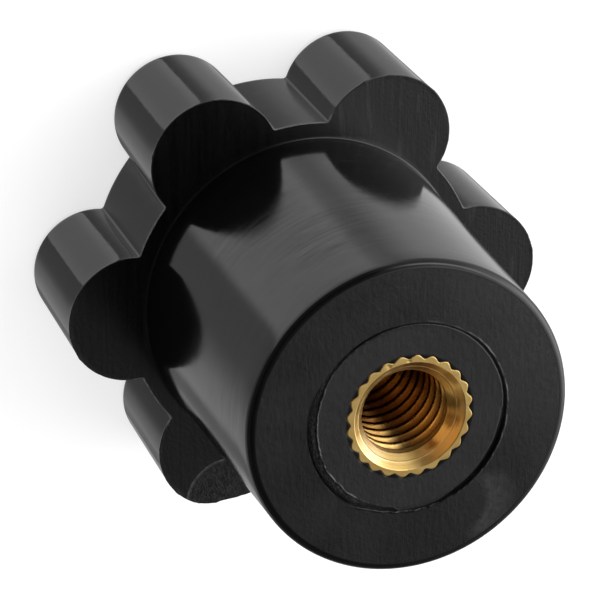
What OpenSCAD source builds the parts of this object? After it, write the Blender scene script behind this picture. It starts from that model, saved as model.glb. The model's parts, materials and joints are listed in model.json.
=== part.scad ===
// Star grip hand nut: a lobed head and a long round hub in one moulding,
// with a knurled brass threaded insert moulded into the end of the hub.
// The knob stands on its crown with the thread axis upright along +Z.
// The origin is the centre of the crown, and the thread opens upwards.

/* [Head] */
// Number of lobes round the head
lobe_count = 6; // [5:1:7]
// Distance from the thread axis to the centre of each lobe
lobe_centre_r = 14.0; // [13.6:0.1:16]
// Radius of each lobe where the head meets the hub
lobe_front_r = 5.2; // [4:0.1:5.6]
// Radius of each lobe at the crown
lobe_crown_r = 4.85; // [3.8:0.05:5.2]
// Radius of the valley floors where the head meets the hub
core_front_r = 14.3; // [13.4:0.1:15]
// Radius of the valley floors at the crown
core_crown_r = 13.85; // [12.5:0.05:14.5]
// Thickness of the head
head_t = 11.5; // [8:0.1:16]
// Rounding of the crown's edges
crown_edge_r = 0.7; // [0.3:0.1:1.5]

/* [Hub] */
// Diameter of the hub at its end face
hub_end_d = 25.4; // [24:0.1:27]
// Diameter of the hub where it meets the head
hub_root_d = 25.9; // [24.5:0.1:28]
// Length of the hub
hub_len = 24.3; // [20:0.1:35]
// Rounding of the hub's end rim
hub_rim_r = 0.6; // [0.3:0.1:1.2]
// Mean radius of the witness ring that the mould's core leaves in the end face
witness_r = 7.65; // [6:0.05:9]
// Width of the witness ring
witness_w = 0.4; // [0.2:0.1:0.8]
// Depth of the witness ring
witness_depth = 0.25; // [0.1:0.05:0.5]

/* [Insert] */
// Length of the brass insert
insert_len = 19; // [16:0.5:20]
// Radius over the crests of the knurl
knurl_crest_r = 5.02; // [4.9:0.02:5.4]
// Radius at the roots between the teeth
knurl_root_r = 4.7; // [4.6:0.02:4.8]
// Number of teeth in the straight knurl
knurl_teeth = 24; // [20:1:28]
// Radius of each rounded tooth
knurl_tooth_r = 0.4; // [0.36:0.02:0.6]
// Width of the groove round the knurl that the plastic fills
lock_groove_w = 2; // [1:0.5:3]
// Radius at the bottom of that groove
lock_groove_r = 4.5; // [4.3:0.05:4.6]
// Distance from the end face to the middle of that groove
lock_groove_depth = 10; // [6:0.5:12]

/* [Thread] */
// Minor diameter of the M8 thread, which is the wall of the bore
minor_d = 6.8; // [6.6:0.05:7]
// Depth of the thread below the end face
thread_depth = 15; // [10:0.5:15]
// Diameter of the countersink at the end face
countersink_d = 9; // [8:0.1:9]
// Full angle of the countersink
countersink_angle = 82; // [60:1:90]
// Full angle of the drill point at the bottom of the bore
drill_angle = 118; // [90:1:135]

/* [Hidden] */
$fn = 96;
edge_steps = 6;
overlap = 0.01;
end_z = head_t + hub_len;
insert_z = end_z - insert_len;
lobe_step = 360 / lobe_count;
knurl_step = 360 / knurl_teeth;
minor_r = minor_d / 2;
countersink_depth = (countersink_d / 2 - minor_r) / tan(countersink_angle / 2);
drill_tip_depth = minor_r / tan(drill_angle / 2);

// Points of a quarter round from the direction at angle a0 to the one at a1
function quarter(cx, cy, r, a0, a1) =
    [for (i = [0:edge_steps])
        let (a = a0 + (a1 - a0) * i / edge_steps)
        [cx + r * cos(a), cy + r * sin(a)]];

// Round drafted post with its lower edge rounded
module drafted_post(low_r, high_r, height, edge_r) {
    rotate_extrude()
        polygon(concat(
            [[0, 0]],
            quarter(low_r - edge_r, edge_r, edge_r, -90, 0),
            [[high_r, height], [0, height]]));
}

module star_head() {
    drafted_post(core_crown_r, core_front_r, head_t, crown_edge_r);
    for (i = [0:lobe_count - 1])
        rotate([0, 0, i * lobe_step])
            translate([lobe_centre_r, 0, 0])
                drafted_post(lobe_crown_r, lobe_front_r, head_t, crown_edge_r);
}

// Hub with a drafted wall and a rounded end rim, rooted in the head
module hub() {
    root_r = hub_root_d / 2;
    end_r = hub_end_d / 2;
    rotate_extrude()
        polygon(concat(
            [[0, head_t / 2], [root_r, head_t / 2], [root_r, head_t]],
            quarter(end_r - hub_rim_r, end_z - hub_rim_r, hub_rim_r, 0, 90),
            [[0, end_z]]));
}

module witness_ring() {
    rotate_extrude()
        translate([witness_r - witness_w / 2, end_z - witness_depth])
            square([witness_w, witness_depth + overlap]);
}

// Outline of the straight knurl: rounded teeth round a plain core
module knurl_outline() {
    tooth_centre_r = knurl_crest_r - knurl_tooth_r;
    circle(r = knurl_root_r);
    for (i = [0:knurl_teeth - 1])
        rotate((i + 0.5) * knurl_step)
            translate([tooth_centre_r, 0])
                circle(r = knurl_tooth_r, $fn = 32);
}

// Outer form of the insert, from its buried end up to a given extra height
module insert_form(extra = 0) {
    difference() {
        translate([0, 0, insert_z])
            linear_extrude(height = insert_len + extra)
                knurl_outline();
        translate([0, 0, end_z - lock_groove_depth - lock_groove_w / 2])
            difference() {
                cylinder(r = knurl_crest_r + 1, h = lock_groove_w);
                translate([0, 0, -overlap])
                    cylinder(r = lock_groove_r, h = lock_groove_w + 2 * overlap);
            }
    }
}

// Countersink, thread bore and drill point as one turned cut
module thread_bore() {
    bore_floor = end_z - thread_depth;
    rotate_extrude()
        polygon([
            [0, bore_floor - drill_tip_depth],
            [minor_r, bore_floor],
            [minor_r, end_z - countersink_depth],
            [countersink_d / 2, end_z],
            [countersink_d / 2, end_z + 1],
            [0, end_z + 1]]);
}

module knob_body() {
    color([0.05, 0.05, 0.055])
        difference() {
            union() {
                star_head();
                hub();
            }
            insert_form(extra = 1);
            witness_ring();
        }
}

module threaded_insert() {
    color([0.84, 0.68, 0.40])
        difference() {
            insert_form();
            thread_bore();
        }
}

knob_body();
threaded_insert();
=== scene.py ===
"""Looks of the star grip hand nut: a black moulding with a knurled brass insert, on a pale floor."""

import json
import math

import bpy
import numpy as np
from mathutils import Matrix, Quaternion, Vector, noise


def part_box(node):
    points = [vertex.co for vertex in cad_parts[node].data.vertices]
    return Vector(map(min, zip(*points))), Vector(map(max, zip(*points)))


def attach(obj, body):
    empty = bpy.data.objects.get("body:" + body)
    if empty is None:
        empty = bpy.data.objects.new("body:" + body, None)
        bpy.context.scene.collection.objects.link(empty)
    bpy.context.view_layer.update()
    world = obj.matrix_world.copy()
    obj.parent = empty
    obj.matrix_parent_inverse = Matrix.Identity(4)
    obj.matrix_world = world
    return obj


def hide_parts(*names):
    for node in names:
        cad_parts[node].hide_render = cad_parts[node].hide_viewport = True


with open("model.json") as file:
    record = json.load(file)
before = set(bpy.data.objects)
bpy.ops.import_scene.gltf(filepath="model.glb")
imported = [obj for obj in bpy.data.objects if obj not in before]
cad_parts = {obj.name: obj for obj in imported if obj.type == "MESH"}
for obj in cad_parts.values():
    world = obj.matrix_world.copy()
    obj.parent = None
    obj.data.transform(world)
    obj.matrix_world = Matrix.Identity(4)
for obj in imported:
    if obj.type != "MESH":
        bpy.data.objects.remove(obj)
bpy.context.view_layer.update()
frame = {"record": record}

MM = 0.001
BODY_LOW, BODY_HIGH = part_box("knob_body")
INSERT_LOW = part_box("threaded_insert")[0]
THREAD = next(m for m in frame["record"]["mounts"] if m["name"] == "stud_thread")

# Driving dimensions in millimetres. Heights are above the crown, where the origin is.
END_Z = BODY_HIGH[2] / MM
INSERT_Z = INSERT_LOW[2] / MM
MINOR_R = THREAD["dims"]["r_mm"]
LOBES = 6
HEAD_T = 11.5
LOBE_CENTRE_R = 14.0
LOBE_R_CROWN, LOBE_R_FRONT = 4.85, 5.2
CORE_R_CROWN, CORE_R_FRONT = 13.85, 14.3
VALLEY_FILLET_R = 0.25
CROWN_EDGE_R = 0.7
HUB_ROOT_R, HUB_END_R = 12.95, 12.7
HUB_RIM_R = 0.6
ROOT_FILLET_R = 0.16
KNURL_TEETH = 24
KNURL_ROOT_R, KNURL_CREST_R = 4.70, 5.00
# How far the knurl, the bore and the rim of the mouth sit off the hub's axis
KNURL_OFFSET = (0.03, -0.13)
BORE_OFFSET = (0.05, -0.08)
MOUTH_OFFSET = (0.0, -0.15)
# Depth and radius down the mouth: chamfer, the fine burr at its foot, then a steeper lead-in
MOUTH = ((0, 4.42), (0.44, 3.96), (0.475, 3.885), (0.52, 3.87), (1.02, 3.40), (1.4, 3.1))
# Depths of the bright lines at the mouth's edges, which the brass gets as painted highlight
EDGE_HIGHLIGHT_DEPTHS = (0.47, 1.02)
# Depths at which the thread begins and at which it has its whole form
THREAD_START = 0.9
THREAD_FULL = 2.1
THREAD_PITCH = 1.25
THREAD_MAJOR_R = 4.0
THREAD_DEPTH = 15.0
DRILL_HALF_ANGLE = math.radians(59)
LOCK_GROOVE_R = 4.5
LOCK_GROOVE_W = 2.0
LOCK_GROOVE_DEPTH = 10.0

# Gap between the insert's knurl and the plastic
CAVITY_GAP = 0.012

# Columns of the moulding round the axis, by the arcs of one lobe's sixth
CORE_HALF, FILLET_ARC, LOBE_ARC = 12, 8, 84
SIXTH = 2 * CORE_HALF + 2 * FILLET_ARC + LOBE_ARC
COLUMNS = LOBES * SIXTH
START = -math.pi / LOBES
ANGLES = START + 2 * math.pi * np.arange(COLUMNS) / COLUMNS
# Steps round the rounded edges and round the fillet at the hub's root
EDGE_STEPS, FILLET_STEPS = 8, 5
# Rows up the lobes' walls, along the head's face and the hub, and across the witness ring
WALL_ROWS, PLAIN_ROWS, WITNESS_ROWS = 13, 14, 46


# ---------------------------------------------------------------- helpers

def wander(angles, seed, waves, octaves):
    """Smooth noise of about +-1 round a ring, with about that many waves in a turn."""
    radius = waves / (2 * math.pi)
    places = [Vector((radius * math.cos(a), radius * math.sin(a), seed)) for a in angles]
    return np.array([noise.fractal(place, 0.9, 2.1, octaves) for place in places])


def bump_between(angles, low, high, soft):
    """1 between two bearings in degrees and 0 elsewhere, with soft ends."""
    middle, half = math.radians((low + high) / 2), math.radians((high - low) / 2)
    off = np.abs((angles - middle + math.pi) % (2 * math.pi) - math.pi)
    return 1 / (1 + np.exp((off - half) / math.radians(soft)))


def ring(xy, z):
    """One closed row of points: xy is (n, 2), and z is a number or one height for each point."""
    return np.column_stack([xy, np.broadcast_to(z, len(xy))])


def circle(radius, angles=ANGLES):
    """Points round the axis at one radius, or at one radius for each bearing."""
    radius = np.broadcast_to(radius, len(angles))
    return np.column_stack([radius * np.cos(angles), radius * np.sin(angles)])


def lofted(name, rings, bands):
    """Closed mesh through rings, with the first and the last closed to a point on the axis.

    bands holds one material number for each ring, for the strip from it to the next ring.
    """
    count = len(rings[0])
    points = np.vstack(rings) * MM
    ends = [(0, 0, rings[0][:, 2].mean() * MM), (0, 0, rings[-1][:, 2].mean() * MM)]
    low, high = len(points), len(points) + 1
    here = np.arange(count)
    after = np.roll(here, -1)
    faces, materials = [], []
    for i in range(len(rings) - 1):
        a, b = i * count, (i + 1) * count
        faces += np.column_stack([a + here, a + after, b + after, b + here]).tolist()
        materials += [bands[i]] * count
    last = (len(rings) - 1) * count
    faces += [[low, j, i] for i, j in zip(here, after)]
    faces += [[high, last + i, last + j] for i, j in zip(here, after)]
    materials += [bands[0]] * count + [bands[-1]] * count
    mesh = bpy.data.meshes.new(name)
    mesh.from_pydata(points.tolist() + ends, [], faces)
    mesh.polygons.foreach_set("material_index", materials)
    mesh.shade_smooth()
    mesh.validate()
    piece = bpy.data.objects.new(name, mesh)
    bpy.context.scene.collection.objects.link(piece)
    return piece


# ---------------------------------------------------------------- head outline

def arc(centre, radius, start, end, count):
    """Points of an arc from start to end, without its last point."""
    angles = start + (end - start) * np.arange(count) / count
    return np.column_stack([centre[0] + radius * np.cos(angles), centre[1] + radius * np.sin(angles)])


def star(z, inset=0.0):
    """Outline of the head at a height: lobes and core blended by fillets, drawn in by inset."""
    t = max(0.0, (z - CROWN_EDGE_R) / (HEAD_T - CROWN_EDGE_R))
    lobe_r = LOBE_R_CROWN + (LOBE_R_FRONT - LOBE_R_CROWN) * t
    core_r = CORE_R_CROWN + (CORE_R_FRONT - CORE_R_CROWN) * t
    to_fillet, lobe_reach = core_r + VALLEY_FILLET_R, lobe_r + VALLEY_FILLET_R
    turn = math.acos((to_fillet ** 2 + LOBE_CENTRE_R ** 2 - lobe_reach ** 2)
                     / (2 * to_fillet * LOBE_CENTRE_R))
    fillet_at = (to_fillet * math.cos(turn), to_fillet * math.sin(turn))
    side = math.atan2(fillet_at[1], fillet_at[0] - LOBE_CENTRE_R)
    lobe_r, core_r, fillet_r = lobe_r - inset, core_r - inset, VALLEY_FILLET_R + inset
    below = (fillet_at[0], -fillet_at[1])
    sixth = np.vstack([
        arc((0, 0), core_r, START, -turn, CORE_HALF),
        arc(below, fillet_r, math.pi - turn, math.pi - side, FILLET_ARC),
        arc((LOBE_CENTRE_R, 0), lobe_r, -side, side, LOBE_ARC),
        arc(fillet_at, fillet_r, side - math.pi, turn - math.pi, FILLET_ARC),
        arc((0, 0), core_r, turn, -START, CORE_HALF)])
    turns = [2 * math.pi * k / LOBES for k in range(LOBES)]
    return np.vstack([sixth @ np.array([[math.cos(a), math.sin(a)], [-math.sin(a), math.cos(a)]])
                      for a in turns])


def outward(xy):
    """Outward unit normals of a closed outline that runs anticlockwise."""
    along = np.roll(xy, -1, 0) - np.roll(xy, 1, 0)
    normals = np.column_stack([along[:, 1], -along[:, 0]])
    return normals / np.linalg.norm(normals, axis=1, keepdims=True)


def knurl(angles, inset=0.0):
    """Outline of the knurl, with rounded teeth and roots, a little off the hub's axis."""
    wave = 0.5 - 0.5 * np.cos(KNURL_TEETH * angles)
    radius = KNURL_ROOT_R + (KNURL_CREST_R - KNURL_ROOT_R) * wave ** 0.8 - inset
    return circle(radius, angles) + KNURL_OFFSET


# ---------------------------------------------------------------- the moulding

HEAD_WALL, HEAD_FACE, HUB_WALL, END_FACE = 0, 1, 2, 3

# Scar of the gate, by its middle and radius
GATE_CENTRE = (-11.3, 14.1)
GATE_R = 3.5
# Cut at the edge of the gate's lobe: depth and height, the lobe, and where round the lobe in degrees
GATE_TRIM = 0.42
GATE_TRIM_HEIGHT = 2.4
GATE_LOBE = math.radians(120)
GATE_TRIM_BEARING, GATE_TRIM_SPREAD = 156, 20

# Trace of flash on the parting edge: its least reach, and what its ragged part adds or takes away
FLASH_LEAST, FLASH_MORE, FLASH_LESS = 0.014, 0.10, 0.05

# Witness mark of the mould's core in the end face: bearing in degrees, inner and outer edge,
# depth at the outer edge, depth at the inner edge, height of the burrs inside and outside
WITNESS = (
    (0, 7.52, 7.70, 0.22, 0.12, 0.030, 0.00),
    (28, 7.50, 7.76, 0.26, 0.14, 0.040, 0.00),
    (36, 7.40, 7.90, 0.34, 0.18, 0.070, 0.00),
    (60, 7.34, 7.97, 0.40, 0.16, 0.080, 0.00),
    (100, 7.33, 7.99, 0.40, 0.16, 0.080, 0.00),
    (116, 7.40, 7.96, 0.32, 0.14, 0.050, 0.00),
    (124, 7.36, 7.76, 0.34, 0.24, 0.010, 0.02),
    (139, 7.40, 7.68, 0.34, 0.24, 0.010, 0.05),
    (143, 7.62, 7.70, 0.05, 0.04, 0.010, 0.06),
    (168, 7.60, 7.74, 0.12, 0.03, 0.000, 0.06),
    (178, 7.32, 7.80, 0.42, 0.00, 0.000, 0.05),
    (205, 7.22, 7.80, 0.50, 0.00, 0.000, 0.05),
    (226, 7.25, 7.78, 0.46, 0.00, 0.000, 0.05),
    (245, 7.50, 7.80, 0.30, 0.00, 0.000, 0.04),
    (285, 7.62, 7.80, 0.16, 0.03, 0.000, 0.03),
    (300, 7.64, 7.74, 0.08, 0.04, 0.000, 0.02),
    (332, 7.56, 7.68, 0.10, 0.06, 0.010, 0.00),
    (360, 7.52, 7.70, 0.22, 0.12, 0.030, 0.00))
# Radii that hold the whole ring, the width of its steep sides, and the half widths of its burrs
WITNESS_OUT, WITNESS_IN = 8.40, 7.05
WITNESS_SIDE = 0.035
BURR_INSIDE, BURR_OUTSIDE = 0.06, 0.07


class Witness:
    """Ragged groove in the end face, worked out once for each column."""

    def __init__(self, angles):
        bearing = np.degrees(angles) % 360
        keys = np.array(WITNESS)
        self.inner, self.outer, deep, shallow, inside, outside = (
            np.interp(bearing, keys[:, 0], keys[:, k]) for k in range(1, 7))
        wide = np.clip((self.outer - self.inner - 0.2) / 0.5, 0, 1) * (deep < 0.41)
        self.inner = self.inner + (0.02 + 0.09 * wide) * wander(angles, 3.1, 50, 4)
        self.outer = self.outer + 0.025 * wander(angles, 9.4, 60, 4)
        self.deep, self.shallow, self.wide = deep, shallow, wide
        self.inside = inside * np.clip(0.5 + 1.3 * wander(angles, 5.5, 60, 4), 0.05, 1.1)
        self.outside = outside * np.clip(0.7 + 1.2 * wander(angles, 2.2, 60, 3), 0.05, 2)

    def height(self, radius):
        """Height above the end face all the way round at one radius."""
        share = np.clip((radius - self.inner) / (self.outer - self.inner), 0, 1)
        depth = self.shallow + (self.deep - self.shallow) * share ** 1.6
        places = [Vector((3.4 * x, 3.4 * y, 2.0)) for x, y in circle(radius)]
        grain = np.array([noise.fractal(place, 0.7, 2.2, 3) for place in places])
        depth = depth + 0.10 * self.wide * grain * (1 - 0.6 * share) * (share > 0)
        past_inner, past_outer = radius - self.inner, radius - self.outer
        cut = np.clip(past_inner / WITNESS_SIDE, 0, 1) * np.clip(-past_outer / WITNESS_SIDE, 0, 1)
        burr_in = 1.3 * self.inside * np.exp(-((past_inner + BURR_INSIDE) / BURR_INSIDE) ** 2)
        burr_out = 1.3 * self.outside * np.exp(-((past_outer - BURR_OUTSIDE) / BURR_OUTSIDE) ** 2)
        return burr_in + burr_out - depth * cut


def gate_trim(angles):
    """How far the lobe's edge is cut back where the gate was broken off."""
    lobe = np.array([math.cos(GATE_LOBE), math.sin(GATE_LOBE)]) * LOBE_CENTRE_R
    rim = star(HEAD_T) - lobe
    bearing = np.degrees(np.arctan2(rim[:, 1], rim[:, 0])) % 360
    near = np.hypot(rim[:, 0], rim[:, 1]) < LOBE_R_FRONT + 0.3
    ragged = 1 + 0.12 * wander(angles, 6.6, 120, 3)
    fade = np.exp(-((bearing - GATE_TRIM_BEARING) / GATE_TRIM_SPREAD) ** 2)
    return (near * GATE_TRIM * fade * ragged)[:, None]


class Stack:
    """Rings of one piece in order along its surface, with a material number for each."""

    def __init__(self):
        self.rings, self.bands = [], []

    def add(self, outline, z, band):
        self.rings.append(ring(outline, z))
        self.bands.append(band)


def quarter(steps, first=0):
    """Angles from 0 to 90 degrees in even steps."""
    return [math.radians(90 * i / steps) for i in range(first, steps + 1)]


def add_crown(stack):
    """Crown face and its rounded edge."""
    for share in (0.15, 0.5, 0.85, 0.97):
        stack.add(star(0, CROWN_EDGE_R) * share, 0, HEAD_FACE)
    for a in quarter(EDGE_STEPS):
        inset, z = CROWN_EDGE_R * (1 - math.sin(a)), CROWN_EDGE_R * (1 - math.cos(a))
        stack.add(star(0, inset), z, HEAD_WALL)


def add_head(stack):
    """Drafted wall, cut back at the gate, the parting edge with its flash, and the front face."""
    trim = gate_trim(ANGLES)
    for z in np.linspace(CROWN_EDGE_R + 0.3, HEAD_T - 0.25, WALL_ROWS):
        wall = star(z)
        cut = trim * max(0, 1 - (HEAD_T - z) / GATE_TRIM_HEIGHT)
        stack.add(wall - outward(wall) * cut, z, HEAD_WALL)
    out = outward(star(HEAD_T))
    front = star(HEAD_T) - out * trim
    lip = FLASH_LEAST + FLASH_MORE * np.clip(wander(ANGLES, 1.3, 150, 4), 0, 1) ** 2
    lip = (lip - FLASH_LESS * np.clip(wander(ANGLES, 4.7, 170, 3) - 0.3, 0, 1))[:, None]
    stack.add(front, HEAD_T - 0.12, HEAD_WALL)
    stack.add(front + out * 0.3 * lip, HEAD_T - 0.06, HEAD_WALL)
    stack.add(front + out * lip, HEAD_T - 0.03, HEAD_WALL)
    stack.add(front + out * (lip - 0.03), HEAD_T + 0.3 * lip[:, 0], HEAD_WALL)
    stack.add(front - out * 0.07, HEAD_T + 0.2 * lip[:, 0], HEAD_FACE)
    edge = front - out * 0.13
    stack.add(edge, HEAD_T, HEAD_FACE)
    inner = circle(HUB_ROOT_R + ROOT_FILLET_R)
    for t in np.linspace(0.06, 0.94, PLAIN_ROWS):
        stack.add(edge + (inner - edge) * t, HEAD_T, HEAD_FACE)


def add_hub(stack):
    """Fillet at the hub's root, its drafted wall and its rounded rim."""
    for a in quarter(FILLET_STEPS):
        reach = HUB_ROOT_R + ROOT_FILLET_R * (1 - math.sin(a))
        stack.add(circle(reach), HEAD_T + ROOT_FILLET_R * (1 - math.cos(a)), HUB_WALL)
    rim_z = END_Z - HUB_RIM_R
    for t in np.linspace(0.04, 1, PLAIN_ROWS):
        z = HEAD_T + ROOT_FILLET_R + (rim_z - HEAD_T - ROOT_FILLET_R) * t
        stack.add(circle(HUB_ROOT_R + (HUB_END_R - HUB_ROOT_R) * t), z, HUB_WALL)
    for a in quarter(EDGE_STEPS, 1):
        reach = HUB_END_R - HUB_RIM_R * (1 - math.cos(a))
        stack.add(circle(reach), rim_z + HUB_RIM_R * math.sin(a), HUB_WALL)


def add_end_face(stack):
    """End face with the witness ring, in to the rounded edge of the cavity."""
    for r in (12.05, 11.0, 9.8, 8.8):
        stack.add(circle(r), END_Z, END_FACE)
    witness = Witness(ANGLES)
    for r in np.linspace(WITNESS_OUT, WITNESS_IN, WITNESS_ROWS):
        stack.add(circle(r), END_Z + witness.height(r), END_FACE)
    stack.add(circle(6.2), END_Z, END_FACE)
    for gap, depth in ((0.40, 0), (0.12, 0), (0.09, 0), (0.04, 0.03)):
        stack.add(knurl(ANGLES, -gap), END_Z - depth, END_FACE)


def add_cavity(stack):
    """Cavity that the insert fills, down to the insert's buried end."""
    for z in (END_Z - 0.10, END_Z - 0.14, END_Z - 1.5, INSERT_Z):
        stack.add(knurl(ANGLES, -CAVITY_GAP), z, END_FACE)


def make_moulding():
    stack = Stack()
    for add_part in (add_crown, add_head, add_hub, add_end_face, add_cavity):
        add_part(stack)
    piece = lofted("star_grip_moulding", stack.rings, stack.bands)
    for material in (head_wall(), head_face(), hub_wall(), end_face()):
        piece.data.materials.append(material)
    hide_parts("knob_body")
    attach(piece, "root")


# ---------------------------------------------------------------- the insert

KNURLED, TURNED, THREADED, FACED = 0, 1, 2, 3
THREAD_COLUMNS = 384
THREAD_ROWS_PER_TURN = 18
INSERT_ANGLES = START + 2 * math.pi * np.arange(THREAD_COLUMNS) / THREAD_COLUMNS
# Two small nicks in the faced rim: their bearings and half width in degrees, and their depth
RIM_NICKS = (-29.7, -9.5)
RIM_NICK_HALF = 1.2
RIM_NICK_DEPTH = 0.022


def thread_r(angles, z):
    """Radius of the cut right-hand thread at each bearing, for one height."""
    phase = (z / THREAD_PITCH - angles / (2 * math.pi)) % 1
    off = np.abs(phase - 0.5) * THREAD_PITCH
    root_flat, crest_start = THREAD_PITCH / 16, THREAD_PITCH * 3 / 8
    depth = np.clip((crest_start - off) / (crest_start - root_flat), 0, 1)
    return MINOR_R + (THREAD_MAJOR_R - MINOR_R) * depth


def bore(radius, depth=THREAD_DEPTH):
    """Ring round the axis of the bore, which the mouth is a little off."""
    share = min(1.0, depth / THREAD_START)
    middle = np.array(MOUTH_OFFSET) * (1 - share) + np.array(BORE_OFFSET) * share
    return circle(radius, INSERT_ANGLES) + middle


def add_knurl(stack):
    """Buried end, knurled wall and lock groove."""
    groove_low = END_Z - LOCK_GROOVE_DEPTH - LOCK_GROOVE_W / 2
    groove_high = groove_low + LOCK_GROOVE_W
    wall = knurl(INSERT_ANGLES)
    stack.add(knurl(INSERT_ANGLES, 1.5), INSERT_Z, KNURLED)
    stack.add(knurl(INSERT_ANGLES, 0.15), INSERT_Z, KNURLED)
    for z in (INSERT_Z + 0.15, INSERT_Z + 3, groove_low):
        stack.add(wall, z, KNURLED)
    for z in (groove_low + 0.01, groove_high - 0.01):
        stack.add(circle(LOCK_GROOVE_R, INSERT_ANGLES) + KNURL_OFFSET, z, KNURLED)
    for z in (groove_high, END_Z - 3, END_Z - 0.5, END_Z - 0.07):
        stack.add(wall, z, KNURLED)


def add_rim(stack):
    """Faced rim with two small nicks."""
    outer, inner = knurl(INSERT_ANGLES, 0.03), bore(MOUTH[0][1] + 0.02, 0)
    nicks = [bump_between(INSERT_ANGLES, at - RIM_NICK_HALF, at + RIM_NICK_HALF, 0.6) for at in RIM_NICKS]
    nicked = RIM_NICK_DEPTH * sum(nicks)
    stack.add(knurl(INSERT_ANGLES, 0.01), END_Z - 0.012, KNURLED)
    stack.add(outer, END_Z, FACED)
    for share in (0.12, 0.35, 0.6, 0.85):
        z = END_Z - nicked * min(1, 4 * share * (1.1 - share))
        stack.add(outer + (inner - outer) * share, z, FACED)
    stack.add(inner, END_Z, TURNED)


def add_bore(stack):
    """Mouth running into the cut thread, and the plain bottom of the drilled hole."""
    edges, radii = zip(*MOUTH)
    step = THREAD_PITCH / THREAD_ROWS_PER_TURN
    for depth in np.union1d(np.arange(0, THREAD_DEPTH, step), edges):
        cone = np.interp(depth, edges, radii, right=0)
        start = min(1.0, max(0.0, (depth - THREAD_START) / (THREAD_FULL - THREAD_START)))
        fade = min(1.0, (THREAD_DEPTH - depth) / THREAD_PITCH) * start * start * (3 - 2 * start)
        cut = MINOR_R + (thread_r(INSERT_ANGLES, END_Z - depth) - MINOR_R) * fade
        band = TURNED if cone > MINOR_R - 0.1 else THREADED
        stack.add(bore(np.maximum(cone, cut), depth), END_Z - depth, band)
    bottom = END_Z - THREAD_DEPTH - 0.1
    for share in (1, 0.7, 0.35, 0.05):
        z = bottom - MINOR_R * (1 - share) / math.tan(DRILL_HALF_ANGLE)
        stack.add(bore(MINOR_R * share), z, THREADED)


def make_insert():
    stack = Stack()
    for add_part in (add_knurl, add_rim, add_bore):
        add_part(stack)
    piece = lofted("brass_threaded_insert", stack.rings, stack.bands)
    for material in (brass("knurled_brass", roughness=0.42, anisotropy=0.0),
                     brass("turned_brass", roughness=0.34, anisotropy=0.5, edge_highlights=EDGE_HIGHLIGHT_DEPTHS),
                     brass("thread_brass", roughness=0.25, anisotropy=0.6, groove=1.0),
                     brass("faced_brass", roughness=0.32, anisotropy=0.0)):
        piece.data.materials.append(material)
    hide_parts("threaded_insert")
    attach(piece, "root")
    return piece


# ---------------------------------------------------------------- materials

class Nodes:
    """Small helper that adds nodes to one material and links them."""

    def __init__(self, name):
        self.material = bpy.data.materials.new(name)
        self.material.use_nodes = True
        self.tree = self.material.node_tree
        self.shader = self.tree.nodes["Principled BSDF"]

    def add(self, kind, inputs=None, **settings):
        node = self.tree.nodes.new(kind)
        for key, value in settings.items():
            setattr(node, key, value)
        for key, value in (inputs or {}).items():
            self.put(node, key, value)
        return node

    def put(self, node, key, value):
        if isinstance(value, bpy.types.NodeSocket):
            self.tree.links.new(value, node.inputs[key])
        else:
            node.inputs[key].default_value = value

    def place(self, scale=(1, 1, 1), turn=0.0):
        """Object coordinates in millimetres, turned about Z and then stretched."""
        where = self.add("ShaderNodeTexCoord").outputs["Object"]
        rotated = self.add("ShaderNodeMapping", {0: where, "Rotation": (0, 0, turn)}).outputs[0]
        sizes = tuple(s / MM for s in scale)
        return self.add("ShaderNodeMapping", {0: rotated, "Scale": sizes}).outputs[0]

    def noise(self, vector, scale, detail, roughness=0.55):
        settings = {"Vector": vector, "Scale": scale, "Detail": detail, "Roughness": roughness}
        return self.add("ShaderNodeTexNoise", settings).outputs["Fac"]

    def span(self, value, low, high, to_low, to_high):
        """A value held between two ends and carried over to two others."""
        settings = {0: value, 1: low, 2: high, 3: to_low, 4: to_high}
        return self.add("ShaderNodeMapRange", settings).outputs[0]

    def math(self, operation, a, b=0.0):
        return self.add("ShaderNodeMath", {0: a, 1: b}, operation=operation).outputs[0]

    def height(self):
        """Height in millimetres above the crown."""
        return self.add("ShaderNodeSeparateXYZ", {0: self.place()}).outputs["Z"]

    def height_band(self, start, end):
        """0 at one height in millimetres and 1 at another, which may be the lower one."""
        return self.span(self.height(), start, end, 0, 1)

    def toward(self, axis, start, end):
        """0 at one coordinate in millimetres along an axis and 1 at another."""
        along = self.add("ShaderNodeSeparateXYZ", {0: self.place()}).outputs[axis]
        return self.span(along, start, end, 0, 1)

    def vector_math(self, operation, a, b):
        return self.add("ShaderNodeVectorMath", {0: a, 1: b}, operation=operation)

    def distance_from_axis(self, centre):
        """Distance in millimetres from an upright axis."""
        flat = self.vector_math("MULTIPLY", self.place(), (1, 1, 0)).outputs[0]
        return self.vector_math("DISTANCE", flat, (*centre, 0)).outputs["Value"]

    def distance(self, centre, z):
        """Distance in millimetres from a point at a height."""
        return self.vector_math("DISTANCE", self.place(), (*centre, z)).outputs["Value"]

    def bump(self, height):
        """Link a height in millimetres to the shader's normal."""
        node = self.add("ShaderNodeBump", {"Strength": 1.0, "Distance": MM, "Height": height})
        self.put(self.shader, "Normal", node.outputs[0])


def mix_colour(nodes, factor, first, second):
    """A colour between two, by a factor socket."""
    node = nodes.tree.nodes.new("ShaderNodeMix")
    node.data_type = "RGBA"
    nodes.tree.links.new(factor, node.inputs[0])
    for socket, colour in ((node.inputs[6], first), (node.inputs[7], second)):
        if isinstance(colour, bpy.types.NodeSocket):
            nodes.tree.links.new(colour, socket)
        else:
            socket.default_value = (*colour, 1)
    return node.outputs[2]


def grey(level):
    return (level, level, level)


BLACK = (0.0018, 0.0018, 0.0020)
WORN_BLACK = (0.0032, 0.0032, 0.0034)
PLASTIC_IOR = 1.5
# Direction of the sanding lines on the faces
SANDING = math.radians(31)
AXIS = (0, 0)


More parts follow.
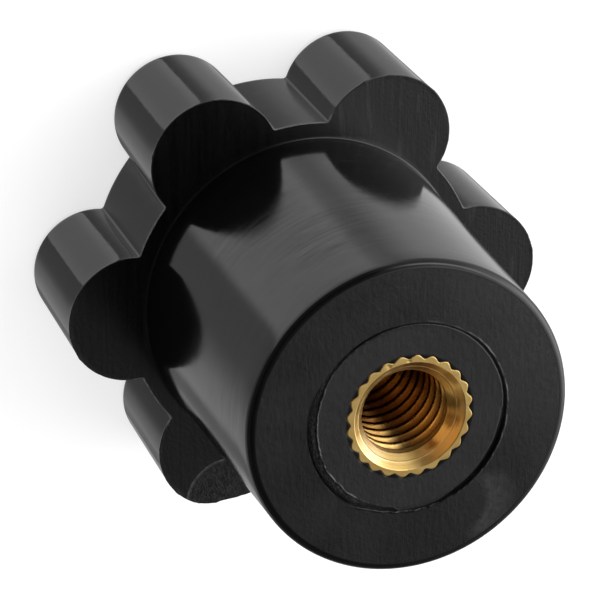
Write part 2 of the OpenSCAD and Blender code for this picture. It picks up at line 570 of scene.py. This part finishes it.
def finish_plastic(n, colour, rough, height):
    """Link colour, roughness and a height in millimetres to a black plastic."""
    n.put(n.shader, "Base Color", colour)
    n.put(n.shader, "Roughness", rough)
    n.bump(height)
    n.shader.inputs["IOR"].default_value = PLASTIC_IOR
    return n.material


def head_wall():
    """Walls of the lobes: glossy as moulded, a few scuffs, and a scuffed parting edge."""
    n = Nodes("black_moulded_wall")
    cloud = n.noise(n.place(), 0.35, 3)
    scuff = n.noise(n.place((1.6, 0.4, 1), 0.7), 1.3, 6, 0.7)
    pits = n.noise(n.place(), 2.6, 3, 0.5)
    grain = n.noise(n.place((1, 1, 0.5)), 1.7, 4, 0.6)
    streak = n.noise(n.place((3, 3, 0.15)), 1.0, 3)
    # parting edge, scuffed mostly along the valleys
    edge = n.height_band(HEAD_T - 0.18, HEAD_T - 0.08)
    edge = n.math("MULTIPLY", edge, n.span(scuff, 0.35, 0.6, 0.4, 1))
    edge = n.math("MULTIPLY", edge, n.span(n.distance(AXIS, HEAD_T), 14.7, 15.4, 1, 0.12))
    rough = n.math("ADD", n.span(cloud, 0.35, 0.65, 0.03, 0.05), n.span(scuff, 0.52, 0.72, 0.0, 0.09))
    rough = n.math("ADD", rough, n.span(edge, 0, 1, 0, 0.4))
    # valley floors, duller than the lobes
    from_axis = n.distance_from_axis(AXIS)
    valley = n.span(from_axis, CORE_R_FRONT + 0.25, CORE_R_FRONT + 0.05, 0, 0.14)
    rough = n.math("ADD", rough, valley)
    colour = mix_colour(n, cloud, BLACK, WORN_BLACK)
    colour = mix_colour(n, edge, colour, grey(0.10))
    height = n.math("ADD", n.span(cloud, 0, 1, 0, 0.006), n.span(streak, 0, 1, 0, 0.0016))
    height = n.math("ADD", height, n.span(grain, 0, 1, 0, 0.0045))
    height = n.math("ADD", height, n.span(pits, 0.62, 0.80, 0, -0.004))
    return finish_plastic(n, colour, rough, height)


# Middle, height and reach of the patches of the hub that show their polishing lines
BRUSHED = (((12.7, 0.6), 20.5, 5.5), ((8.7, -9.5), 16.5, 4.5), ((8.8, -9.3), 22.8, 5.5),
           ((7.8, 10.0), 32.0, 4.0), ((12.7, -3.0), 28.0, 6.0))


def hub_wall():
    """Hub: glossy, with faint polishing lines round it that are strongest in patches."""
    n = Nodes("black_polished_hub")
    cloud = n.noise(n.place(), 0.22, 3)
    lines = n.noise(n.place((0.22, 0.22, 3.0)), 1.0, 5, 0.7)
    scuff = n.noise(n.place((0.5, 0.5, 2.0)), 0.9, 6, 0.7)
    shown = n.span(cloud, 0, 1, 0.04, 0.14)
    for centre, z, reach in BRUSHED:
        shown = n.math("MAXIMUM", shown, n.span(n.distance(centre, z), reach, reach * 0.35, 0, 1))
    rough = n.math("ADD", n.span(cloud, 0.35, 0.65, 0.10, 0.14), n.span(scuff, 0.58, 0.75, 0.0, 0.06))
    depth = n.span(shown, 0, 1, 0.001, 0.010)
    height = n.math("ADD", n.span(cloud, 0, 1, 0, 0.015), n.math("MULTIPLY", lines, depth))
    worn = n.math("MULTIPLY", n.span(lines, 0.52, 0.66, 0, 1), shown)
    colour = mix_colour(n, worn, mix_colour(n, cloud, BLACK, WORN_BLACK), grey(0.009))
    # faint mottling near the head
    root = n.math("MULTIPLY", n.height_band(HEAD_T + 5.5, HEAD_T + 2), n.span(scuff, 0.50, 0.70, 0, 1))
    colour = mix_colour(n, root, colour, grey(0.005))
    shine = n.math("MULTIPLY", n.span(lines, 0.30, 0.70, -0.22, 0.22), shown)
    shine = n.math("ADD", shine, n.span(scuff, 0.3, 0.7, 0.45, 0.55))
    n.put(n.shader, "Specular IOR Level", shine)
    return finish_plastic(n, colour, rough, height)


def head_face():
    """Front face of the head: satin with drawn streaks, and the rough scar of the gate."""
    n = Nodes("black_satin_face")
    streaks = n.noise(n.place((0.10, 2.2, 1), SANDING), 1.0, 5, 0.7)
    scratches = n.noise(n.place((0.16, 1.3, 1), SANDING), 1.0, 3, 0.5)
    speck = n.noise(n.place(), 3.5, 4, 0.6)
    cloud = n.noise(n.place(), 0.35, 3)
    torn = n.noise(n.place(), 2.4, 5, 0.75)
    # scar of the gate, and the bright line round it
    away = n.distance(GATE_CENTRE, HEAD_T)
    gate = n.span(away, GATE_R, GATE_R - 0.25, 0, 1)
    gate = n.math("MULTIPLY", gate, n.height_band(HEAD_T - 2, HEAD_T - 0.3))
    outside = n.span(away, GATE_R + 0.10, GATE_R, 0, 1)
    arc_line = n.math("MULTIPLY", outside, n.span(away, GATE_R - 0.2, GATE_R, 0, 1))
    rough = n.math("ADD", n.span(cloud, 0.3, 0.7, 0.17, 0.23), n.span(gate, 0, 1, 0, 0.12))
    # streaks and specks of the satin face
    drawn = n.span(streaks, 0.3, 0.7, 0, 1)
    colour = mix_colour(n, drawn, (0.0008, 0.0008, 0.0009), (0.0034, 0.0034, 0.0035))
    colour = mix_colour(n, n.toward("Y", -4, -14), colour, grey(0.008))
    colour = mix_colour(n, n.span(speck, 0.48, 0.70, 0, 0.22), colour, grey(0.009))
    broken = n.math("MULTIPLY", gate, n.span(torn, 0.42, 0.62, 0, 1))
    colour = mix_colour(n, broken, colour, grey(0.013))
    bright = n.math("MULTIPLY", arc_line, n.span(torn, 0.35, 0.6, 0.1, 1))
    colour = mix_colour(n, bright, colour, grey(0.07))
    scratched = n.math("MULTIPLY", n.span(scratches, 0.60, 0.70, 0, 0.6), n.toward("Y", -5, -9))
    colour = mix_colour(n, scratched, colour, grey(0.022))
    relief = n.math("MULTIPLY", streaks, n.span(n.toward("Y", 3, 8), 0, 1, 0.016, 0.005))
    height = n.math("ADD", relief, n.span(speck, 0, 1, 0, 0.010))
    height = n.math("ADD", height, n.math("MULTIPLY", gate, n.span(torn, 0, 1, -0.06, 0.03)))
    n.put(n.shader, "Specular IOR Level", n.span(gate, 0, 1, 0.5, 0.3))
    return finish_plastic(n, colour, rough, height)


SMEAR_CENTRE = (-8.6, 0.6)
SMEAR_TURN = math.radians(25)
# Middle of the stretch where the witness ring is wide, and where its outer lip gets painted shade
WIDE_STRETCH = (1.7, 7.8)
# Middle and size of the duller zones
DULL_ZONES = ((-8.4, 3.8, 4.2), (1.0, 11.6, 3.4), (10.4, 5.0, 3.0))


def smear_mask(n, speck):
    """Pale arc beside the witness ring, 1 where the smear is whole."""
    away = n.distance(SMEAR_CENTRE, END_Z)
    away = n.math("ADD", away, n.span(speck, 0, 1, -0.35, 0.35))
    smear = n.math("MULTIPLY", n.span(away, 2.2, 2.7, 0, 1), n.span(away, 3.2, 5.0, 1, 0))
    side = n.add("ShaderNodeSeparateXYZ", {0: n.place(turn=SMEAR_TURN)}).outputs
    smear = n.math("MULTIPLY", smear, n.span(side["Y"], -2.2, -3.4, 0, 1))
    smear = n.math("MULTIPLY", smear, n.span(side["X"], -5.8, -6.8, 0, 1))
    return n.math("MULTIPLY", smear, n.toward("Y", 1.6, 0.2))


def end_face():
    """End face of the hub: satin with fine sanding lines, a pale smear and duller zones."""
    n = Nodes("black_sanded_end")
    lines = n.noise(n.place((0.5, 3.2, 1), SANDING), 1.0, 5, 0.75)
    speck = n.noise(n.place(), 2.2, 5, 0.7)
    cloud = n.noise(n.place(), 0.30, 4)
    torn = n.noise(n.place(), 3.6, 5, 0.75)
    from_axis = n.distance_from_axis(AXIS)
    from_wide = n.distance(WIDE_STRETCH, END_Z)
    smear = smear_mask(n, speck)
    # flat face
    haze = n.span(n.math("ADD", cloud, n.math("MULTIPLY", lines, 0.35)), 0.45, 0.85, 0, 1)
    colour = mix_colour(n, haze, BLACK, (0.0052, 0.0052, 0.0056))
    for x, y, size in DULL_ZONES:
        dull = n.span(n.distance((x, y), END_Z), size, size * 0.35, 0, 0.8)
        colour = mix_colour(n, dull, colour, (0.0022, 0.0022, 0.0024))
    worn = n.math("MAXIMUM", n.toward("Y", -4, -12), n.span(from_axis, 7.6, 7.2, 0, 0.5))
    worn = n.math("MULTIPLY", worn, n.span(speck, 0.3, 0.7, 0.6, 1))
    colour = mix_colour(n, worn, colour, (0.018, 0.018, 0.0185))
    grainy = n.math("MULTIPLY", smear, n.span(speck, 0.36, 0.64, 0.15, 1))
    colour = mix_colour(n, grainy, colour, (0.021, 0.021, 0.022))
    # witness ring, its inner side broken and pale where it is wide
    groove = n.height_band(END_Z - 0.02, END_Z - 0.08)
    broken = n.math("MULTIPLY", groove, n.span(torn, 0.42, 0.60, 0.05, 1))
    broken = n.math("MULTIPLY", broken, n.height_band(END_Z - 0.32, END_Z - 0.16))
    broken = n.math("MULTIPLY", broken, n.span(from_axis, 7.80, 7.45, 0.08, 1))
    broken = n.math("MULTIPLY", broken, n.span(from_wide, 9.5, 7.5, 0, 1))
    colour = mix_colour(n, broken, colour, (0.040, 0.040, 0.042))
    # painted shade: a dark collar of near-black colour round the insert, where the gap at the knurl lies
    # in shadow
    shade_collar = n.span(n.distance_from_axis(KNURL_OFFSET), 5.12, 4.97, 0, 0.8)
    colour = mix_colour(n, shade_collar, colour, (0.0020, 0.0020, 0.0022))
    # less shine in the ring and on its sloping sides; less shine as painted shade on the dark lip and in
    # the collar
    # painted shade: a shadow line on the outer lip of the wide stretch, made by taking its shine away
    lip = n.math("MULTIPLY", n.span(from_axis, 7.74, 7.86, 0, 1), n.span(from_axis, 8.06, 8.00, 0, 1))
    lip = n.math("MULTIPLY", lip, n.span(from_wide, 6.0, 4.6, 0, 1))
    dark = n.math("MAXIMUM", n.math("MAXIMUM", lip, shade_collar), n.span(groove, 0, 1, 0, 0.3))
    sloped = n.height_band(END_Z - 0.004, END_Z - 0.03)
    sloped = n.math("MULTIPLY", sloped, n.span(from_wide, 7.5, 9.5, 0, 0.85))
    dark = n.math("MAXIMUM", dark, sloped)
    n.put(n.shader, "Specular IOR Level", n.span(dark, 0, 1, 0.5, 0.04))
    rough = n.math("ADD", n.span(cloud, 0.3, 0.7, 0.20, 0.27), n.span(smear, 0, 1, 0, 0.12))
    rough = n.math("ADD", rough, n.span(groove, 0, 1, 0, 0.2))
    height = n.math("ADD", n.span(lines, 0, 1, 0, 0.014), n.span(speck, 0, 1, 0, 0.018))
    height = n.math("ADD", height, n.math("MULTIPLY", groove, n.span(torn, 0, 1, -0.11, 0.11)))
    return finish_plastic(n, colour, rough, height)


# Painted shade in the mouth of the insert, brown patches on its shaded side: bearing and depth of the
# middle, reach, strength and colour
MOUTH_SHADE_PATCHES = ((222, 0.80, 0.85, 0.80, (0.26, 0.15, 0.04)), (246, 0.80, 0.95, 0.85, (0.22, 0.14, 0.04)),
          (184, 0.95, 0.70, 0.80, (0.26, 0.11, 0.03)), (170, 0.25, 0.75, 0.35, (0.42, 0.24, 0.07)),
          (252, 0.15, 1.00, 0.65, (0.36, 0.17, 0.045)), (278, 0.12, 1.00, 0.75, (0.34, 0.17, 0.045)),
          (315, 0.15, 1.80, 0.70, (0.36, 0.17, 0.045)))
# How far the painted shade patches are moved towards -Y, as the mouth is off the hub's axis
SHADE_PATCH_DROP = 0.12
BRASS_DEEP, BRASS_PALE = (0.82, 0.54, 0.17), (0.89, 0.63, 0.24)
LATHE_STAIN = (0.55, 0.30, 0.07)
# The groove brown and the depth brown are painted shade colours; the cloud brown is patchy tone
GROOVE_SHADE_BROWN = (0.16, 0.055, 0.010)
CLOUD_BROWN = (0.36, 0.12, 0.025)
DEPTH_SHADE_BROWN = (0.20, 0.066, 0.011)
# Paler brass of the painted highlight lines at the mouth's edges
EDGE_HIGHLIGHT_BRASS = (0.95, 0.74, 0.36)


def add_shade_patches(n, colour):
    """Painted shade: brown patches at given places on the shaded side of the insert's mouth."""
    speckle = n.noise(n.place((0.6, 0.6, 3)), 1.0, 4, 0.6)
    for bearing, depth, reach, strength, shade_colour in MOUTH_SHADE_PATCHES:
        radius = np.interp(depth, *zip(*MOUTH))
        a = math.radians(bearing)
        away = n.distance((radius * math.cos(a), radius * math.sin(a) - SHADE_PATCH_DROP), END_Z - depth)
        away = n.math("ADD", away, n.span(speckle, 0.3, 0.7, -0.25, 0.25))
        colour = mix_colour(n, n.span(away, reach, reach * 0.45, 0, strength), colour, shade_colour)
    return colour


def brass(name, roughness, anisotropy, groove=0.0, edge_highlights=()):
    """Yellow brass with lathe marks round the axis.

    groove is the strength of the painted shade in the thread's groove and further down the bore. The last
    argument gives the depths of painted highlight lines at the mouth's edges, and also brings in the
    painted shade patches of the mouth.
    """
    n = Nodes(name)
    lathe = n.noise(n.place((0.12, 0.12, 7)), 1.0, 4, 0.65)
    facing = n.noise(n.place((1.5, 1.5, 1)), 2.0, 4, 0.6)
    cloud = n.noise(n.place(), 0.9, 4, 0.6)
    colour = mix_colour(n, n.span(cloud, 0.3, 0.7, 0, 1), BRASS_DEEP, BRASS_PALE)
    colour = mix_colour(n, n.span(lathe, 0.52, 0.66, 0, 0.32), colour, LATHE_STAIN)
    rough = n.span(cloud, 0.3, 0.7, roughness - 0.04, roughness + 0.05)
    if groove:
        # painted shade: darker brown in the thread's groove
        from_axis = n.distance_from_axis(BORE_OFFSET)
        dark = n.span(from_axis, MINOR_R + 0.12, MINOR_R + 0.42, 0, groove)
        colour = mix_colour(n, dark, colour, GROOVE_SHADE_BROWN)
        colour = mix_colour(n, n.span(cloud, 0.46, 0.68, 0, 0.5), colour, CLOUD_BROWN)
        # painted shade: darker brown further down the bore
        deep = n.span(n.height(), END_Z - 2.5, END_Z - 7, 0, 0.85)
        colour = mix_colour(n, deep, colour, DEPTH_SHADE_BROWN)
        rough = n.math("ADD", rough, n.span(n.height(), END_Z - 2.1, END_Z - 1.5, 0, 0.22))
    if edge_highlights:
        # painted shade patches on the mouth's shaded side
        colour = add_shade_patches(n, colour)
    # painted highlight: paler, rougher brass along the bright lines at these depths
    for depth in edge_highlights:
        off = n.math("ABSOLUTE", n.math("SUBTRACT", n.height(), END_Z - depth))
        edge_highlight = n.math("MULTIPLY", n.span(off, 0.045, 0.01, 0, 1), n.span(cloud, 0.35, 0.6, 0.25, 0.9))
        colour = mix_colour(n, edge_highlight, colour, EDGE_HIGHLIGHT_BRASS)
        rough = n.math("ADD", rough, n.span(edge_highlight, 0, 1, 0, 0.25))
    n.put(n.shader, "Base Color", colour)
    n.put(n.shader, "Roughness", rough)
    pitting = n.span(facing, 0, 1, 0, 0.001 if groove else 0.003)
    n.bump(n.math("ADD", n.span(lathe, 0, 1, 0, 0.006), pitting))
    n.shader.inputs["Metallic"].default_value = 1.0
    n.shader.inputs["Anisotropic"].default_value = anisotropy
    n.shader.inputs["Anisotropic Rotation"].default_value = 0.25
    round_axis = n.add("ShaderNodeTangent", direction_type="RADIAL", axis="Z")
    n.put(n.shader, "Tangent", round_axis.outputs[0])
    return n.material


# ---------------------------------------------------------------- stage, light and camera

# Width in metres, and the gap in millimetres that keeps it clear of the crown
FLOOR_SIZE = 3.0
FLOOR_GAP = 0.02
FLOOR_WHITE = 0.45
# Light that the floor gives of its own, which keeps the object's shadow faint
FLOOR_GLOW = 0.62


def make_floor():
    mesh = bpy.data.meshes.new("floor")
    half = FLOOR_SIZE / 2
    low = BODY_LOW[2] - FLOOR_GAP * MM
    corners = [(-half, -half, low), (half, -half, low), (half, half, low), (-half, half, low)]
    mesh.from_pydata(corners, [], [(0, 1, 2, 3)])
    floor = bpy.data.objects.new("floor", mesh)
    bpy.context.scene.collection.objects.link(floor)
    n = Nodes("pale_floor")
    n.shader.inputs["Base Color"].default_value = (*grey(FLOOR_WHITE), 1)
    n.shader.inputs["Emission Color"].default_value = (1, 1, 1, 1)
    n.shader.inputs["Emission Strength"].default_value = FLOOR_GLOW
    n.shader.inputs["Roughness"].default_value = 0.9
    n.shader.inputs["Specular IOR Level"].default_value = 0.1
    mesh.materials.append(n.material)
    floor.visible_glossy = False


# Brightness of the studio all the way round, as (bearing in degrees, brightness), in five bands
# from steeply below the object to high above it
STUDIO_STEEP = (
    (-180, 0.20), (-160, 0.18), (-152, 0.30), (-146, 0.58), (-128, 0.48), (-112, 0.49), (-85, 0.56),
    (-75, 0.46), (-66, 0.33), (-56, 0.27), (-49, 0.27), (-46, 0.88), (-38, 0.83), (-25, 0.72),
    (15, 0.71), (30, 0.75), (39.5, 0.79), (42, 0.29), (75, 0.27), (85, 0.33), (95, 0.45),
    (117, 0.50), (137, 0.50), (145, 0.26), (155, 0.15), (180, 0.20))
STUDIO_BELOW = (
    (-180, 0.45), (-156, 0.25), (-146, 0.85), (-80, 0.90), (-66, 0.70), (-57, 0.55), (-46, 0.72),
    (-40, 1.05), (34, 1.02), (40, 0.42), (74, 0.36), (100, 0.66), (124, 0.60), (131, 0.24),
    (146, 0.25), (153, 0.48), (180, 0.45))
STUDIO_LOW = (
    (-180, 0.23), (-166, 0.5), (-155, 1.3), (-138, 2.5), (-121, 3.4), (-108, 3.2), (-96, 1.9),
    (-80, 1.0), (-62, 0.58), (-48, 0.50), (-26, 0.10), (125, 0.08), (165, 0.10), (180, 0.23))
STUDIO_HIGH = (
    (-180, 0.16), (-173, 0.34), (-164, 0.68), (-150, 1.15), (-138, 1.8), (-116, 3.0), (-62, 3.2),
    (-48, 0.8), (-40, 0.01), (120, 0.01), (165, 0.06), (175, 0.11), (180, 0.16))
STUDIO_TOP = (
    (-180, 0.16), (-173, 0.34), (-164, 0.70), (-150, 1.20), (-138, 1.6), (-120, 1.3), (-95, 0.7),
    (-60, 0.35), (-40, 0.01), (120, 0.01), (165, 0.06), (175, 0.11), (180, 0.16))
# Each band above the lowest, after the rises between which it takes over from the one below it.
# A rise is the sine of the elevation.
BANDS = ((-0.888, -0.868, STUDIO_BELOW), (-0.20, 0.0, STUDIO_LOW),
         (0.50, 0.66, STUDIO_HIGH), (0.76, 0.84, STUDIO_TOP))
ZENITH_RISE = (0.92, 0.98)
ZENITH = 0.06
BACKDROP = 0.93


class Sky:
    """World nodes that shade the studio by direction."""

    def __init__(self):
        world = bpy.data.worlds.new("studio")
        bpy.context.scene.world = world
        world.use_nodes = True
        self.tree = world.node_tree
        self.out = self.tree.nodes["Background"].inputs["Color"]
        where = self.tree.nodes.new("ShaderNodeTexCoord").outputs["Generated"]
        split = self.tree.nodes.new("ShaderNodeSeparateXYZ")
        self.tree.links.new(where, split.inputs[0])
        turn = self.tree.nodes.new("ShaderNodeMath")
        turn.operation = "ARCTAN2"
        self.tree.links.new(split.outputs["Y"], turn.inputs[0])
        self.tree.links.new(split.outputs["X"], turn.inputs[1])
        self.bearing = self.span(turn.outputs[0], -math.pi, math.pi, 0, 1)
        self.rise = split.outputs["Z"]

    def span(self, value, low, high, to_low, to_high):
        node = self.tree.nodes.new("ShaderNodeMapRange")
        self.tree.links.new(value, node.inputs[0])
        for k, number in enumerate((low, high, to_low, to_high)):
            node.inputs[k + 1].default_value = number
        return node.outputs[0]

    def ramp(self, stops):
        """Brightness by bearing."""
        node = self.tree.nodes.new("ShaderNodeValToRGB")
        self.tree.links.new(self.bearing, node.inputs[0])
        elements = node.color_ramp.elements
        while len(elements) < len(stops):
            elements.new(0.5)
        for element, (angle, light) in zip(elements, stops):
            element.position = (angle + 180) / 360
            element.color = (*grey(light), 1)
        return node.outputs[0]

    def mix(self, factor, first, second):
        node = self.tree.nodes.new("ShaderNodeMix")
        node.data_type = "RGBA"
        for k, value in ((0, factor), (6, first), (7, second)):
            if isinstance(value, bpy.types.NodeSocket):
                self.tree.links.new(value, node.inputs[k])
            else:
                node.inputs[k].default_value = value
        return node.outputs[2]


def make_world():
    """A white studio: bands of brightness round the object, with a plain backdrop for the camera."""
    sky = Sky()
    light = sky.ramp(STUDIO_STEEP)
    for low, high, stops in BANDS:
        light = sky.mix(sky.span(sky.rise, low, high, 0, 1), light, sky.ramp(stops))
    light = sky.mix(sky.span(sky.rise, *ZENITH_RISE, 0, 1), light, (*grey(ZENITH), 1))
    seen = sky.tree.nodes.new("ShaderNodeLightPath").outputs["Is Camera Ray"]
    sky.tree.links.new(sky.mix(seen, light, (*grey(BACKDROP), 1)), sky.out)


# Soft suns that light the floor and the dull part of the surfaces: bearing, elevation, strength
SUNS = ((5, 62, 1.0), (120, 60, 0.9), (240, 60, 0.9))
SUN_WIDTH = 50
# Lights that only the brass insert receives: bearing, elevation, strength, width in degrees, colour
WARM, PALE, COOL = (1.0, 0.57, 0.25), (1.0, 0.85, 0.6), (0.55, 0.78, 2.2)
INSERT_LIGHTS = ((28, 14, 0.28, 120, WARM), (30, 14, 0.28, 88, WARM), (34, 14, 0.18, 60, WARM),
                 (38, 14, 0.07, 36, WARM), (126, 6, 0.34, 64, PALE), (-112, 16, 0.55, 36, COOL))


def make_sun(name, bearing, elevation, strength, width):
    """A sun at a bearing and elevation and with a width in the sky, all in degrees."""
    data = bpy.data.lights.new(name, "SUN")
    data.energy = strength
    data.angle = math.radians(width)
    sun = bpy.data.objects.new(name, data)
    a, e = math.radians(bearing), math.radians(elevation)
    toward = Vector((math.cos(a) * math.cos(e), math.sin(a) * math.cos(e), math.sin(e)))
    sun.location = toward
    sun.rotation_mode = "QUATERNION"
    sun.rotation_quaternion = toward.to_track_quat("Z", "Y")
    bpy.context.scene.collection.objects.link(sun)
    return sun


def make_suns(insert):
    for bearing, elevation, strength in SUNS:
        sun = make_sun("sun_%d" % bearing, bearing, elevation, strength, SUN_WIDTH)
        sun.visible_glossy = False
    only_insert = bpy.data.collections.new("only_insert")
    only_insert.objects.link(insert)
    for bearing, elevation, strength, width, colour in INSERT_LIGHTS:
        sun = make_sun("insert_light_%d" % bearing, bearing, elevation, strength, width)
        sun.data.color = colour
        sun.light_linking.receiver_collection = only_insert


# The photograph's view. The bearing is from -Y towards +X and all angles are in degrees, the aim and
# the distance are in the driving dimensions' millimetres, and the lens and sensor are in mm.
VIEW_BEARING = 94.81
VIEW_ELEVATION = 59.90
VIEW_ROLL = 140.23
VIEW_AIM = (2.51, 0.82, 16.41)
VIEW_DISTANCE = 430.9
LENS = 333.95
SENSOR = 36


def make_camera():
    data = bpy.data.cameras.new("camera")
    data.sensor_width = SENSOR
    data.lens = LENS
    data.clip_start, data.clip_end = 0.01, 10
    camera = bpy.data.objects.new("camera", data)
    a, e = math.radians(VIEW_BEARING), math.radians(VIEW_ELEVATION)
    back = Vector((math.sin(a) * math.cos(e), -math.cos(a) * math.cos(e), math.sin(e)))
    camera.location = (Vector(VIEW_AIM) + back * VIEW_DISTANCE) * MM
    camera.rotation_mode = "QUATERNION"
    rolled = Quaternion((0, 0, 1), math.radians(VIEW_ROLL))
    camera.rotation_quaternion = (-back).to_track_quat("-Z", "Y") @ rolled
    bpy.context.scene.collection.objects.link(camera)
    bpy.context.scene.camera = camera


make_camera()
make_world()
make_floor()
make_moulding()
make_suns(make_insert())
bpy.context.scene.view_settings.view_transform = "Standard"
